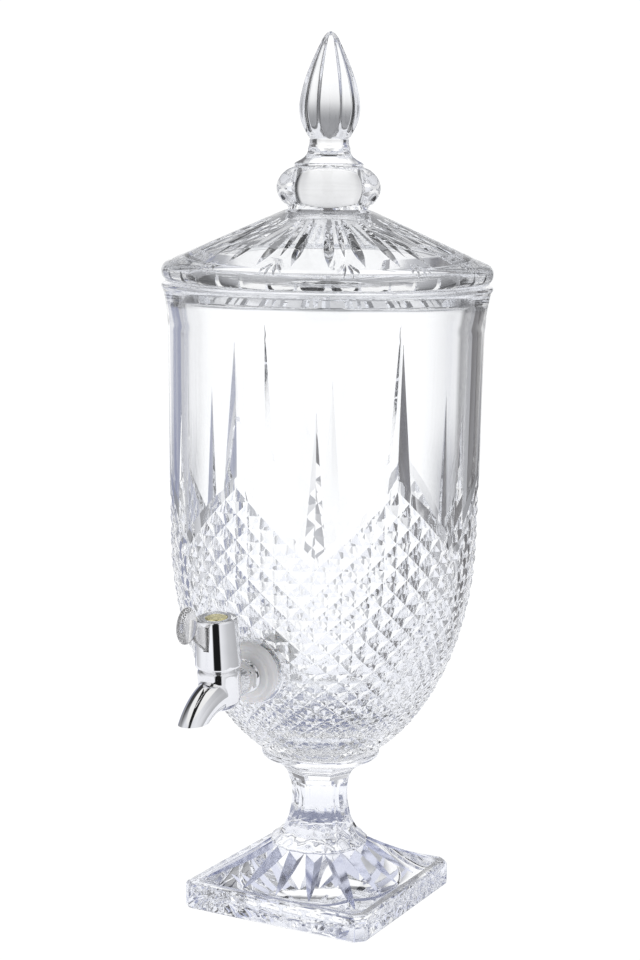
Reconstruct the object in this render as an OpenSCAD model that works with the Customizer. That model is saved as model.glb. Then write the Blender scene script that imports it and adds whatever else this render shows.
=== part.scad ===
// Glass beverage dispenser: a cut-glass jar bonded on a square pedestal,
// a loose conical lid with a flame finial, and a chromed quarter-turn tap.
// Millimetres, +Z up. Origin at the centre of the foot's underside.
// The tap points to -Y.

/* [Jar] */
// Largest radius of the rounded bowl
bowl_r = 94.6; // [93:0.1:96]
// Height where the bowl runs into the straight wall
bowl_z = 235; // [230:1:240]
// Vertical half-axis of the bowl's outside
bowl_h = 148; // [146:1:150]
// Wall thickness of the straight part
wall = 9; // [8:0.5:10]
// Vertical half-axis of the bowl's inside
bowl_hi = 132; // [130:1:133]
// Outer radius of the rim
rim_r = 100.5; // [99.5:0.1:100.5]
// Height of the rim's top
rim_z = 387; // [384:1:390]

/* [Pedestal] */
// Width of the square foot
foot_w = 126; // [118:1:134]
// Height of the foot's upright sides
foot_h = 16; // [13:0.5:16]
// Width of the cut corners of the foot
foot_cut = 5; // [3:0.5:8]
// Height of the dish that the bowl stands on
dish_z = 96; // [96:0.5:98]
// Radius of the dish
dish_r = 36.6; // [36:0.1:39]
// Radius of the stem's waist
waist_r = 17.2; // [16:0.1:19]

/* [Lid] */
// Radius of the lid's edge
lid_r = 100.7; // [99.5:0.1:101.5]
// Gap between the rim and the lid at rest
lid_gap = 0.3; // [0.2:0.1:0.6]
// Radius of the lid's rounded edge
nose_r = 6.2; // [5.5:0.1:6.4]
// Depth of the skirt inside the mouth
skirt_d = 9; // [6:0.5:12]
// Glass thickness of the cone
lid_wall = 7; // [6:0.5:8]
// Radius of the bulb under the finial
bulb_r = 31.8; // [30:0.1:34]
// Height of the seam under the finial
seam_z = 473.6; // [472:0.1:475]
// Largest radius of the finial
flame_r = 18.3; // [16:0.1:20]
// Height of the finial's tip
tip_z = 537; // [530:1:545]

/* [Tap] */
// Distance of the sealing pad's centre from the jar's axis
pad_y = 87; // [86.5:0.1:87.5]
// Height of the sealing pad's centre
pad_z = 164.5; // [163:0.5:166]
// Forward lean of the tap
tap_tilt = 6; // [5:0.5:7]
// Radius of the sealing pad
pad_r = 20.5; // [19.5:0.1:21]
// Distance from the pad to the barrel's axis
reach = 36.3; // [35:0.1:38]
// Radius of the barrel
barrel_r = 12.3; // [12:0.1:12.5]
// Radius of the bend in the spout
bend_r = 40; // [38:1:42]
// Outside radius of the spout
spout_r = 7.5; // [7.2:0.1:8]
// Bore radius of the spout
spout_bore = 5; // [4.5:0.1:5.2]
// Height of the spout's mouth
mouth_z = 148.2; // [147:0.1:149]
// Radius of the shank's thread
shank_r = 7.9; // [7.8:0.05:7.9]
// Radius of the valve chamber
chamber_r = 8; // [8:0.01:8.02]
// Radial clearance of the valve plug
plug_gap = 0.03; // [0.02:0.01:0.06]
// Radius of the port across the plug
port_r = 4; // [3.5:0.1:4]

/* [Hidden] */
$fn = 96;

glass_c = [0.90, 0.93, 0.96, 0.5];
chrome_c = [0.80, 0.81, 0.82];
silicone_c = [0.80, 0.78, 0.75, 0.9];

// ---- jar ----------------------------------------------------------------
flare_z = rim_z - 32;
bowl_ri = bowl_r - wall;
mouth_r = rim_r - 12;
steps = 14;
t_seat = acos((bowl_z - dish_z) / bowl_h);

function flare(z) = 1.7 * (min(z, flare_z) - bowl_z) / (flare_z - bowl_z)
    + (z > flare_z ? (rim_r - bowl_r - 1.7) * pow((z - flare_z) / (rim_z - flare_z), 1.9) : 0);

outer_pts = concat(
    [for (i = [0:steps]) let (t = t_seat + (90 - t_seat) * i / steps)
        [bowl_r * sin(t), bowl_z - bowl_h * cos(t)]],
    [[bowl_r + 1.7, flare_z]],
    [for (i = [1:5]) [bowl_r + flare(flare_z + 5 * i), flare_z + 5 * i]],
    [[rim_r, rim_z - 2.6], [rim_r - 0.8, rim_z - 0.8], [rim_r - 2.6, rim_z]]);
inner_pts = concat(
    [for (i = [0:steps]) let (t = 90 * i / steps)
        [bowl_ri * sin(t), bowl_z - bowl_hi * cos(t)]],
    [[bowl_ri + 1.2, flare_z + 6], [mouth_r, rim_z - 10],
     [mouth_r, rim_z - 2], [mouth_r + 0.7, rim_z - 0.7], [mouth_r + 2, rim_z]]);

module jar_outside() { rotate_extrude() polygon(concat([[0, dish_z]], outer_pts, [[0, rim_z]])); }
module jar_inside(d = 0) {
    rotate_extrude() polygon(concat(
        [for (p = inner_pts) [max(0, p[0] - d), p[1] + (p[0] < 1 ? d : 0)]],
        [[mouth_r + 2 - d, rim_z + 1], [0, rim_z + 1]]));
}

// ---- tap frame: origin on the pad, -Y runs out along the shank -----------
module tap_frame() { translate([0, -pad_y, pad_z]) rotate([tap_tilt, 0, 0]) children(); }
module barrel_frame() { tap_frame() translate([0, -reach, 0]) children(); }
module rod(u0, u1, r) { translate([0, -u0, 0]) rotate([90, 0, 0]) cylinder(h = u1 - u0, r = r); }
module ring(z0, z1, ri, ro) {
    rotate_extrude() polygon([[ri, z0], [ro, z0], [ro, z1], [ri, z1]]);
}

seal_end = 20.6;      // inward end of the inner seal
washer_t = 1.5;
nut_t = 6;
shank_end = 33;

module glass_jar() {
    color(glass_c) difference() {
        union() {
            jar_outside();
            tap_frame() rod(-15, 0, pad_r);
        }
        jar_inside();
        tap_frame() rod(-40, 2, 9.6);
    }
}

module foot_outline(w, c) {
    h = w / 2;
    polygon([[h - c, -h], [h, -h + c], [h, h - c], [h - c, h],
             [-h + c, h], [-h, h - c], [-h, -h + c], [-h + c, -h]]);
}

// one of the two crossed profiles whose overlap is the square sweep of the foot
module sweep_side() {
    hw = foot_w / 2;
    q = [[hw - 5, foot_h - 4], [hw - 5, foot_h + 0.5], [hw - 14, foot_h + 4], [hw - 22, foot_h + 9],
         [hw - 29, foot_h + 15], [hw - 34.6, foot_h + 21.4]];
    rotate([90, 0, 0]) linear_extrude(foot_w, center = true) polygon(concat(
        q, [for (i = [len(q) - 1:-1:0]) [-q[i][0], q[i][1]]]));
}

module glass_pedestal() {
    color(glass_c) difference() {
        union() {
            // upright foot with a narrow step for its bevel
            linear_extrude(foot_h - 2) foot_outline(foot_w, foot_cut);
            linear_extrude(foot_h) foot_outline(foot_w - 4, foot_cut);
            // square sweep up to the stem
            intersection() {
                sweep_side();
                rotate([0, 0, 90]) sweep_side();
            }
            // stem, collar and dish
            rotate_extrude() polygon([
                [0, foot_h - 6], [30, foot_h - 6], [30.2, 38], [27.2, 41], [23.6, 44.2], [21.3, 47.5], [19.4, 52], [18.3, 57],
                [waist_r + 0.2, 63], [waist_r, 69], [waist_r + 0.5, 75], [waist_r + 1.6, 79],
                [19.4, 82], [20.8, 85.5], [23.4, 89.4], [30.2, 90.7], [dish_r - 0.9, dish_z - 3.6],
                [dish_r, dish_z - 2.2], [dish_r, dish_z - 1], [dish_r - 1, dish_z], [0, dish_z]]);
            translate([0, 0, 86.3]) rotate([0, 0, 22.5]) cylinder(h = 2.6, r = 26.6, $fn = 8);
        }
        // shallow recess under the foot
        translate([0, 0, -1]) cylinder(h = 2.5, r1 = 46, r2 = 44.5);
    }
}

lid_z = rim_z + lid_gap;
cone_z = 431;
// centre of the rounded edge, and the angle at which the cone touches it
nose = [lid_r - nose_r, lid_z + nose_r + 0.95];
cone_run = [nose[0] - 27.5, cone_z - nose[1]];
touch_a = atan2(cone_run[0], cone_run[1]) + asin(nose_r / norm(cone_run));
slope = tan(90 - touch_a);
skirt_r = mouth_r - 1.4;

module glass_lid() {
    color(glass_c) rotate_extrude() polygon(concat(
        // underside
        [[0, cone_z - 5], [24, cone_z - 6],
         [skirt_r - 21, cone_z - slope * (skirt_r - 21 - 27.5) - lid_wall],
         [skirt_r - 15.5, lid_z + 16.6], [skirt_r - 10, lid_z + 12.4], [skirt_r - 6.2, lid_z + 7],
         [skirt_r - 3.8, lid_z],
         [skirt_r - 2.8, lid_z - skirt_d], [skirt_r - 1, lid_z - skirt_d], [skirt_r, lid_z - skirt_d + 1],
         [skirt_r, lid_z]],
        // edge and cone
        [[nose[0] - 1.5, lid_z]],
        [for (i = [-75:15:-15]) [lid_r - 4.5 + 4.5 * cos(i), nose[1] + 6.6 * sin(i)]],
        [for (i = [0:15:60]) nose + nose_r * [cos(i), sin(i)]],
        [nose + nose_r * [cos(touch_a), sin(touch_a)], [27.5, cone_z]],
        // bulb and neck
        [for (i = [-60:20:60]) [bulb_r - 11 + 11 * cos(i), 444.5 + 12.8 * sin(i)]],
        [[20.8, 459.5], [17, 463.5], [13.5, 467.5], [12.2, 471.5], [12.2, seam_z], [0, seam_z]]));
}

// outline of the finial: share of its radius, share of its height
flame = [[0.65, 0], [0.8, 0.075], [0.93, 0.16], [0.99, 0.245], [1, 0.3], [0.97, 0.38], [0.92, 0.45],
         [0.83, 0.55], [0.69, 0.66], [0.53, 0.77], [0.35, 0.88], [0.2, 0.96], [0.1, 0.99]];

module lid_finial() {
    color(glass_c) rotate_extrude() polygon(concat(
        [[0, seam_z]],
        [for (p = flame) [flame_r * p[0], seam_z + (tip_z - seam_z) * p[1]]],
        [[0, tip_z]]));
}

// ---- tap ----------------------------------------------------------------
module spout_path(r, a) {
    translate([0, -(reach + 5), -bend_r])
        multmatrix([[0, 0, 1, 0], [0, -1, 0, 0], [1, 0, 0, 0], [0, 0, 0, 1]])
            rotate_extrude(angle = a) translate([bend_r, 0]) circle(r = r);
}

neck_top = 17;
module tap_body() {
    color(chrome_c) difference() {
        union() {
            tap_frame() {
                rod(8.5, reach, 9.3);
                rod(7.5, 9.3, 10.4);
                translate([0, -9.3, 0]) rotate([90, 0, 0]) rotate([0, 0, 30]) cylinder(h = 5.7, r = 10.2, $fn = 6);
                rod(-8, 8.2, shank_r - 0.1);
                // thread rings of the shank
                rotate([90, 0, 0]) translate([0, 0, -shank_end]) rotate_extrude() polygon(concat(
                    [[0, 0], [shank_r - 1.4, 0]],
                    [for (i = [0:15]) each [[shank_r - 0.9, 0.8 + 1.5 * i], [shank_r, 1.4 + 1.5 * i],
                                            [shank_r, 1.7 + 1.5 * i], [shank_r - 0.9, 2.3 + 1.5 * i]]],
                    [[shank_r - 0.9, 25.5], [0, 25.5]]));
                spout_path(spout_r, 56);
            }
            barrel_frame() rotate_extrude() polygon([
                [0, -11], [6, -10.5], [9.4, -8.6], [11.5, -5.6], [barrel_r, -2], [barrel_r, 10.7],
                [barrel_r - 1, 11.7], [10.8, 11.7], [10.8, neck_top], [0, neck_top]]);
        }
        // water way from the jar to the chamber and on to the mouth
        tap_frame() {
            rod(-shank_end - 1, reach, 4.5);
            spout_path(spout_bore, 58);
        }
        barrel_frame() {
            translate([0, 0, -7.6]) cylinder(h = 40, r = chamber_r);
            translate([0, 0, 12]) cylinder(h = 10, r = 9.4);
        }
        // level mouth
        translate([-40, -230, mouth_z - 60]) cube([80, 98, 60]);
    }
}

module outer_washer() {
    color(silicone_c) tap_frame() rotate([90, 0, 0]) rotate_extrude() polygon([
        [8, -5], [9.5, -5], [9.5, 0], [17.7, 0], [18.5, 0.8], [18.5, 5.2], [17.7, 6],
        [14.2, 6], [14.2, 7], [13.7, 7.5], [8, 7.5]]);
}

module inner_seal() {
    color(silicone_c) intersection() {
        tap_frame() difference() {
            rod(-seal_end, -8, 12.5);
            rod(-seal_end - 1, -7, 8);
        }
        jar_inside(0.1);
    }
}

module backing_washer() {
    color([0.86, 0.86, 0.84]) tap_frame() difference() {
        rod(-seal_end - washer_t, -seal_end, 13);
        rod(-seal_end - washer_t - 1, -seal_end + 1, 8.1);
    }
}

module lock_nut() {
    color([0.9, 0.9, 0.88]) tap_frame() difference() {
        translate([0, seal_end + washer_t + nut_t, 0]) rotate([90, 0, 0]) rotate([0, 0, 30])
            cylinder(h = nut_t, r = 13.6, $fn = 6);
        rod(-seal_end - washer_t - nut_t - 1, -seal_end - washer_t + 1, 7.95);
    }
}

module bonnet_ring() { color(chrome_c) barrel_frame() ring(14.3, neck_top, 7, 9.38); }

plug_r = chamber_r - plug_gap;
module valve_plug() {
    color([0.93, 0.93, 0.9]) barrel_frame() difference() {
        rotate_extrude() polygon([
            [0, -7.3], [plug_r - 0.4, -7.3], [plug_r, -6.9], [plug_r, -6.7], [6.1, -6.7], [6.1, -4.7],
            [plug_r, -4.7], [plug_r, 6.5], [6.1, 6.5], [6.1, 8.5], [plug_r, 8.5], [plug_r, 12.3],
            [8.9, 12.3], [8.9, 14], [6.5, 14], [6.5, 34], [0, 34]]);
        rotate([0, 90, 0]) translate([0, 0, -12]) cylinder(h = 24, r = port_r);
        translate([0, 0, 22]) cylinder(h = 20, r = 1.55);
    }
}

module oring(z) {
    color([0.25, 0.25, 0.26]) barrel_frame() translate([0, 0, z])
        rotate_extrude() translate([7.03, 0]) circle(r = 0.9);
}
module plug_oring_upper() { oring(7.5); }
module plug_oring_lower() { oring(-5.7); }

sleeve_z = 15.2;
sleeve_top = 43.7;
module lever_side() {
    // outline of the web in the plane of the barrel's axis, drawn as reach and height
    polygon([[8.5, 27.6], [13.2, 27.6], [22, 35.4], [22, 47.5], [13, 41.2], [8.5, 41.2]]);
}
module web(t) {
    // upright plate of thickness t
    multmatrix([[0, 0, 1, 0], [-1, 0, 0, 0], [0, 1, 0, 0], [0, 0, 0, 1]])
        translate([0, 0, -t / 2]) linear_extrude(t) lever_side();
}

module tap_sleeve() {
    color(chrome_c) barrel_frame() difference() {
        rotate_extrude() polygon([
            [11.9, sleeve_z], [13, sleeve_z], [13.3, sleeve_z + 0.4], [11.95, sleeve_top - 0.6],
            [11.4, sleeve_top], [6.5, sleeve_top], [6.5, sleeve_top - 1.4],
            [10.5, sleeve_top - 1.4]]);
        // window for the lever's web
        translate([-1.8, -20, 27.2]) cube([3.6, 15, 14.4]);
    }
}

module lever() {
    color([0.88, 0.88, 0.87, 0.7]) barrel_frame() difference() {
        union() {
            translate([0, 0, 18.2]) cylinder(h = 23.8, r = 10.2);
            web(3);
            // thick oval paddle
            translate([0, -31, 48.5]) rotate([0, 90, 0]) rotate_extrude() polygon([
                [0, -3], [5, -2.7], [8.5, -1.9], [10.3, -0.8], [10.3, 0.8], [8.5, 1.9], [5, 2.7], [0, 3]]);
        }
        translate([0, 0, 17]) cylinder(h = 17.1, r = 6.55);
        translate([0, 0, 30]) cylinder(h = 10, r = 1.7);
        translate([0, 0, 37]) cylinder(h = 10, r = 5);
    }
}

module cap_disc() {
    color([0.88, 0.82, 0.55]) barrel_frame() rotate_extrude() polygon([
        [0, 42.1], [6.4, 42.1], [6.4, 43.7], [6, 44], [0, 44]]);
}

module head_screw() {
    color([0.7, 0.71, 0.72]) barrel_frame() difference() {
        union() {
            translate([0, 0, 24]) cylinder(h = 14, r = 1.5);
            translate([0, 0, 37.6]) cylinder(h = 2.4, r = 3.2);
        }
        translate([-0.5, -5, 39]) cube([1, 10, 2]);
        translate([-5, -0.5, 39]) cube([10, 1, 2]);
    }
}

module screw_washer() { color([0.72, 0.73, 0.74]) barrel_frame() ring(37, 37.6, 1.7, 4.2); }

glass_jar();
glass_pedestal();
glass_lid();
lid_finial();
tap_body();
outer_washer();
inner_seal();
backing_washer();
lock_nut();
bonnet_ring();
valve_plug();
plug_oring_upper();
plug_oring_lower();
tap_sleeve();
lever();
cap_disc();
head_screw();
screw_washer();
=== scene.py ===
import math

import bmesh
import bpy
import numpy as np
from mathutils import Matrix, Vector


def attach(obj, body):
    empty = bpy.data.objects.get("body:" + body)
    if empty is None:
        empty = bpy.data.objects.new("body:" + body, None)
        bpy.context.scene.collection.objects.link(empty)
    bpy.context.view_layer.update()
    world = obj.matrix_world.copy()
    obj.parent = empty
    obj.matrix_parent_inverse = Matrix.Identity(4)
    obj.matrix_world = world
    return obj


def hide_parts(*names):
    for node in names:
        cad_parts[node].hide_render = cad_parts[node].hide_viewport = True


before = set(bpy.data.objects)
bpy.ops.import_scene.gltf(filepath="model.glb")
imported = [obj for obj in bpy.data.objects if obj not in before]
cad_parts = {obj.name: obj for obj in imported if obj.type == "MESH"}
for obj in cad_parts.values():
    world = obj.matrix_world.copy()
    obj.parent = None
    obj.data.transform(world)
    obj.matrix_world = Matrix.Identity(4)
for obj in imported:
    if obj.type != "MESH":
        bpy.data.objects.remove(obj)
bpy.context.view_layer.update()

scene = bpy.context.scene
MM = 0.001
rad = math.radians


# ---------------------------------------------------------------- mesh helpers
def put(name, verts, faces, material, body, replaces=(), sharp=30.0):
    """A piece from vertices in millimetres."""
    me = bpy.data.meshes.new(name)
    me.from_pydata((np.asarray(verts, float) * MM).tolist(), [], faces)
    me.update()
    ob = bpy.data.objects.new(name, me)
    scene.collection.objects.link(ob)
    return dress(ob, material, body, replaces, sharp)


def dress(ob, material, body, replaces=(), sharp=30.0):
    me = ob.data
    me.materials.clear()
    me.materials.append(material)
    me.shade_smooth()
    me.set_sharp_from_angle(angle=rad(sharp))
    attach(ob, body)
    for node in replaces:
        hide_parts(node)
    return ob


def skin(rows, pole0=None, pole1=None):
    """Vertices and faces of closed rings stacked from row to row, with a point at either end."""
    rows = np.asarray(rows, float)
    nj, ni, _ = rows.shape
    idx = np.arange(nj * ni).reshape(nj, ni)
    nxt = np.roll(idx, -1, axis=1)
    faces = np.stack([idx[:-1], nxt[:-1], nxt[1:], idx[1:]], -1).reshape(-1, 4).tolist()
    verts = rows.reshape(-1, 3)
    if pole0 is not None:
        p = len(verts)
        verts = np.vstack([verts, pole0])
        faces += [(int(b), int(a), p) for a, b in zip(idx[0], nxt[0])]
    if pole1 is not None:
        p = len(verts)
        verts = np.vstack([verts, pole1])
        faces += [(int(a), int(b), p) for a, b in zip(idx[-1], nxt[-1])]
    return verts, faces


def around(r, theta, z):
    """Millimetre points from radius, azimuth (from -Y towards +X, degrees) and height."""
    r, theta, z = np.broadcast_arrays(np.asarray(r, float), np.radians(theta), np.asarray(z, float))
    return np.stack([r * np.sin(theta), -r * np.cos(theta), z], -1)


def smooth01(t):
    t = np.clip(t, 0.0, 1.0)
    return t * t * (3 - 2 * t)


def soften(points, radius, steps=4):
    """Rounds the corners of a profile, a list of (r, z)."""
    pts = [np.array(p, float) for p in points]
    out = [pts[0]]
    for a, b, c in zip(pts[:-2], pts[1:-1], pts[2:]):
        la, lc = np.linalg.norm(a - b), np.linalg.norm(c - b)
        k = min(radius, 0.45 * la, 0.45 * lc)
        p, q = b + (a - b) / la * k, b + (c - b) / lc * k
        for t in np.linspace(0, 1, steps + 1):
            out.append((1 - t) ** 2 * p + 2 * t * (1 - t) * b + t * t * q)
    out.append(pts[-1])
    return np.array(out)


def temp_object(name, verts, faces):
    me = bpy.data.meshes.new(name)
    me.from_pydata((np.asarray(verts, float) * MM).tolist(), [], faces)
    me.update()
    ob = bpy.data.objects.new(name, me)
    scene.collection.objects.link(ob)
    return ob


def baked(ob):
    """Applies the modifiers of ob to its mesh."""
    dg = bpy.context.evaluated_depsgraph_get()
    dg.update()
    me = bpy.data.meshes.new_from_object(ob.evaluated_get(dg))
    old = ob.data
    ob.modifiers.clear()
    ob.data = me
    bpy.data.meshes.remove(old)
    return ob


def cut(ob, tool, how):
    m = ob.modifiers.new("cut", "BOOLEAN")
    m.operation = how
    m.solver = "MANIFOLD"
    m.object = tool
    baked(ob)
    drop(tool)


def drop(ob):
    me = ob.data
    bpy.data.objects.remove(ob)
    bpy.data.meshes.remove(me)


def joined(parts):
    """One list of vertices and faces out of several."""
    verts, faces, n = [], [], 0
    for v, f in parts:
        verts.append(np.asarray(v, float))
        faces += [[i + n for i in one] for one in f]
        n += len(v)
    return np.vstack(verts), faces


# tap frame: x across, u outwards, w up the barrel
TC, TS = math.cos(rad(6)), math.sin(rad(6))


def tap(x, u, w):
    x, u, w = np.broadcast_arrays(np.asarray(x, float), np.asarray(u, float), np.asarray(w, float))
    return np.stack([x, -87 - u * TC - w * TS, 164.5 - u * TS + w * TC], -1)


REACH = 36.3


def turned_w(profile, n=96):
    """Revolves (r, w) about the barrel's axis. Ends on the axis become points."""
    a = np.linspace(0, 2 * np.pi, n, endpoint=False)
    rows, p0, p1 = [], None, None
    for k, (r, w) in enumerate(profile):
        if r < 1e-6:
            p = tap(0, REACH, w)
            if k == 0:
                p0 = p
            else:
                p1 = p
            continue
        rows.append(tap(r * np.sin(a), REACH + r * np.cos(a), w))
    return skin(rows, p0, p1)


def turned_u(profile, n=96):
    """Revolves (r, u) about the tap's long axis."""
    a = np.linspace(0, 2 * np.pi, n, endpoint=False)
    rows, p0, p1 = [], None, None
    for k, (r, u) in enumerate(profile):
        if r < 1e-6:
            p = tap(0, u, 0)
            if k == 0:
                p0 = p
            else:
                p1 = p
            continue
        rows.append(tap(-r * np.cos(a), u, r * np.sin(a)))
    return skin(rows, p0, p1)


def ringed(verts_faces, n_rows, n=96):
    """Joins the last ring of a skin to its first, for a profile that is a closed loop."""
    v, f = verts_faces
    first, last = range(0, n), range((n_rows - 1) * n, n_rows * n)
    first, last = list(first), list(last)
    for i in range(n):
        k = (i + 1) % n
        f.append((last[i], last[k], first[k], first[i]))
    return v, f


# ---------------------------------------------------------------- materials
def nodes_of(name):
    m = bpy.data.materials.new(name)
    m.use_nodes = True
    nt = m.node_tree
    nt.nodes.clear()
    out = nt.nodes.new("ShaderNodeOutputMaterial")
    bs = nt.nodes.new("ShaderNodeBsdfPrincipled")
    nt.links.new(bs.outputs[0], out.inputs[0])
    return m, nt, bs


def noise(nt, scale, detail=3.0, stretch=(1, 1, 1), seed=0.0):
    tc = nt.nodes.new("ShaderNodeTexCoord")
    mp = nt.nodes.new("ShaderNodeMapping")
    mp.inputs["Scale"].default_value = stretch
    mp.inputs["Location"].default_value = (seed, seed * 0.7, seed * 1.3)
    nt.links.new(tc.outputs["Object"], mp.inputs["Vector"])
    n = nt.nodes.new("ShaderNodeTexNoise")
    n.inputs["Scale"].default_value = scale
    n.inputs["Detail"].default_value = detail
    nt.links.new(mp.outputs[0], n.inputs["Vector"])
    return n.outputs["Fac"]


def ramp(nt, fac, stops):
    r = nt.nodes.new("ShaderNodeValToRGB")
    el = r.color_ramp.elements
    el.remove(el[-1])
    (p0, c0), rest = stops[0], stops[1:]
    el[0].position = p0
    el[0].color = (*c0[:3], 1.0)
    for p, c in rest:
        el.new(p).color = (*c[:3], 1.0)
    nt.links.new(fac, r.inputs["Fac"])
    return r.outputs["Color"]


def spread(nt, fac, lo, hi):
    m = nt.nodes.new("ShaderNodeMapRange")
    m.inputs["From Min"].default_value = 0.3
    m.inputs["From Max"].default_value = 0.7
    m.inputs["To Min"].default_value = lo
    m.inputs["To Max"].default_value = hi
    nt.links.new(fac, m.inputs["Value"])
    return m.outputs["Result"]


def stuff(name, c0, c1, rough, scale=60.0, metallic=0.0, transmission=0.0, ior=1.5, bump=0.0, bump_scale=200.0,
          subsurface=0.0, coat=0.0, seed=0.0):
    m, nt, bs = nodes_of(name)
    f = noise(nt, scale, seed=seed)
    nt.links.new(ramp(nt, f, [(0.3, c0), (0.7, c1)]), bs.inputs["Base Color"])
    nt.links.new(spread(nt, noise(nt, scale * 1.7, seed=seed + 3), *rough), bs.inputs["Roughness"])
    bs.inputs["Metallic"].default_value = metallic
    bs.inputs["Transmission Weight"].default_value = transmission
    bs.inputs["IOR"].default_value = ior
    bs.inputs["Coat Weight"].default_value = coat
    if subsurface:
        bs.inputs["Subsurface Weight"].default_value = subsurface
        bs.inputs["Subsurface Radius"].default_value = (0.004, 0.0035, 0.003)
    if bump:
        b = nt.nodes.new("ShaderNodeBump")
        b.inputs["Strength"].default_value = bump
        b.inputs["Distance"].default_value = 0.0003
        nt.links.new(noise(nt, bump_scale, seed=seed + 5), b.inputs["Height"])
        nt.links.new(b.outputs[0], bs.inputs["Normal"])
    return m


GLASS = stuff("clear_glass", (0.978, 0.984, 0.992), (0.992, 0.995, 1.0), (0.0, 0.012), scale=25.0, transmission=1.0, ior=1.52)
# satin glass for the ground rays: rough like ground glass, and its lavender-grey base colour is painted shade
SATIN_PAINTED_SHADE = stuff("satin_glass_painted_shade", (0.42, 0.45, 0.63), (0.50, 0.53, 0.70), (0.16, 0.22), scale=60.0, transmission=1.0, ior=1.52)
CHROME = stuff("chrome", (0.88, 0.88, 0.885), (0.93, 0.93, 0.93), (0.03, 0.06), scale=90.0, metallic=1.0)
PLASTIC = stuff("clear_plastic", (0.90, 0.89, 0.875), (0.94, 0.935, 0.925), (0.05, 0.12), scale=80.0, transmission=0.8, ior=1.49)
GOLD = stuff("pale_gold", (0.95, 0.85, 0.42), (0.98, 0.91, 0.54), (0.16, 0.26), scale=300.0, metallic=0.75)
SILICONE = stuff("silicone", (0.955, 0.94, 0.92), (0.98, 0.97, 0.96), (0.3, 0.42), scale=70.0, transmission=0.06,
                 ior=1.42, subsurface=0.35)
WHITE = stuff("white_plastic", (0.86, 0.86, 0.84), (0.92, 0.92, 0.91), (0.3, 0.4), scale=80.0, bump=0.1)
RUBBER = stuff("black_rubber", (0.035, 0.035, 0.035), (0.06, 0.06, 0.06), (0.55, 0.7), scale=150.0, bump=0.2)
STEEL = stuff("steel", (0.58, 0.59, 0.60), (0.70, 0.71, 0.72), (0.22, 0.34), scale=220.0, metallic=1.0)


# ---------------------------------------------------------------- jar
PEAK = -5.0           # azimuth of a peak of the diamond field
K = 6                 # panel columns to half a diamond
TIP = 0.13            # flat left on each diamond's tip


def jar_r(z):
    z = np.asarray(z, float)
    bowl = 94.6 * np.sqrt(np.clip(1 - ((235 - z) / 148.0) ** 2, 0, 1))
    wall = 94.6 + 1.7 * (z - 235) / 120.0
    flare = 4.2 * np.clip((z - 355) / 32.0, 0, 1) ** 1.9
    return np.where(z < 235, bowl, np.minimum(wall, 96.3) + flare)


def jar_surface(z, depth):
    """Radius and height of a point that lies depth under the outside at height z."""
    z = np.asarray(z, float)
    slope = (jar_r(z + 0.05) - jar_r(z - 0.05)) / 0.1
    n = np.sqrt(1 + slope ** 2)
    return jar_r(z) - depth / n, z + depth * slope / n


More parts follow.
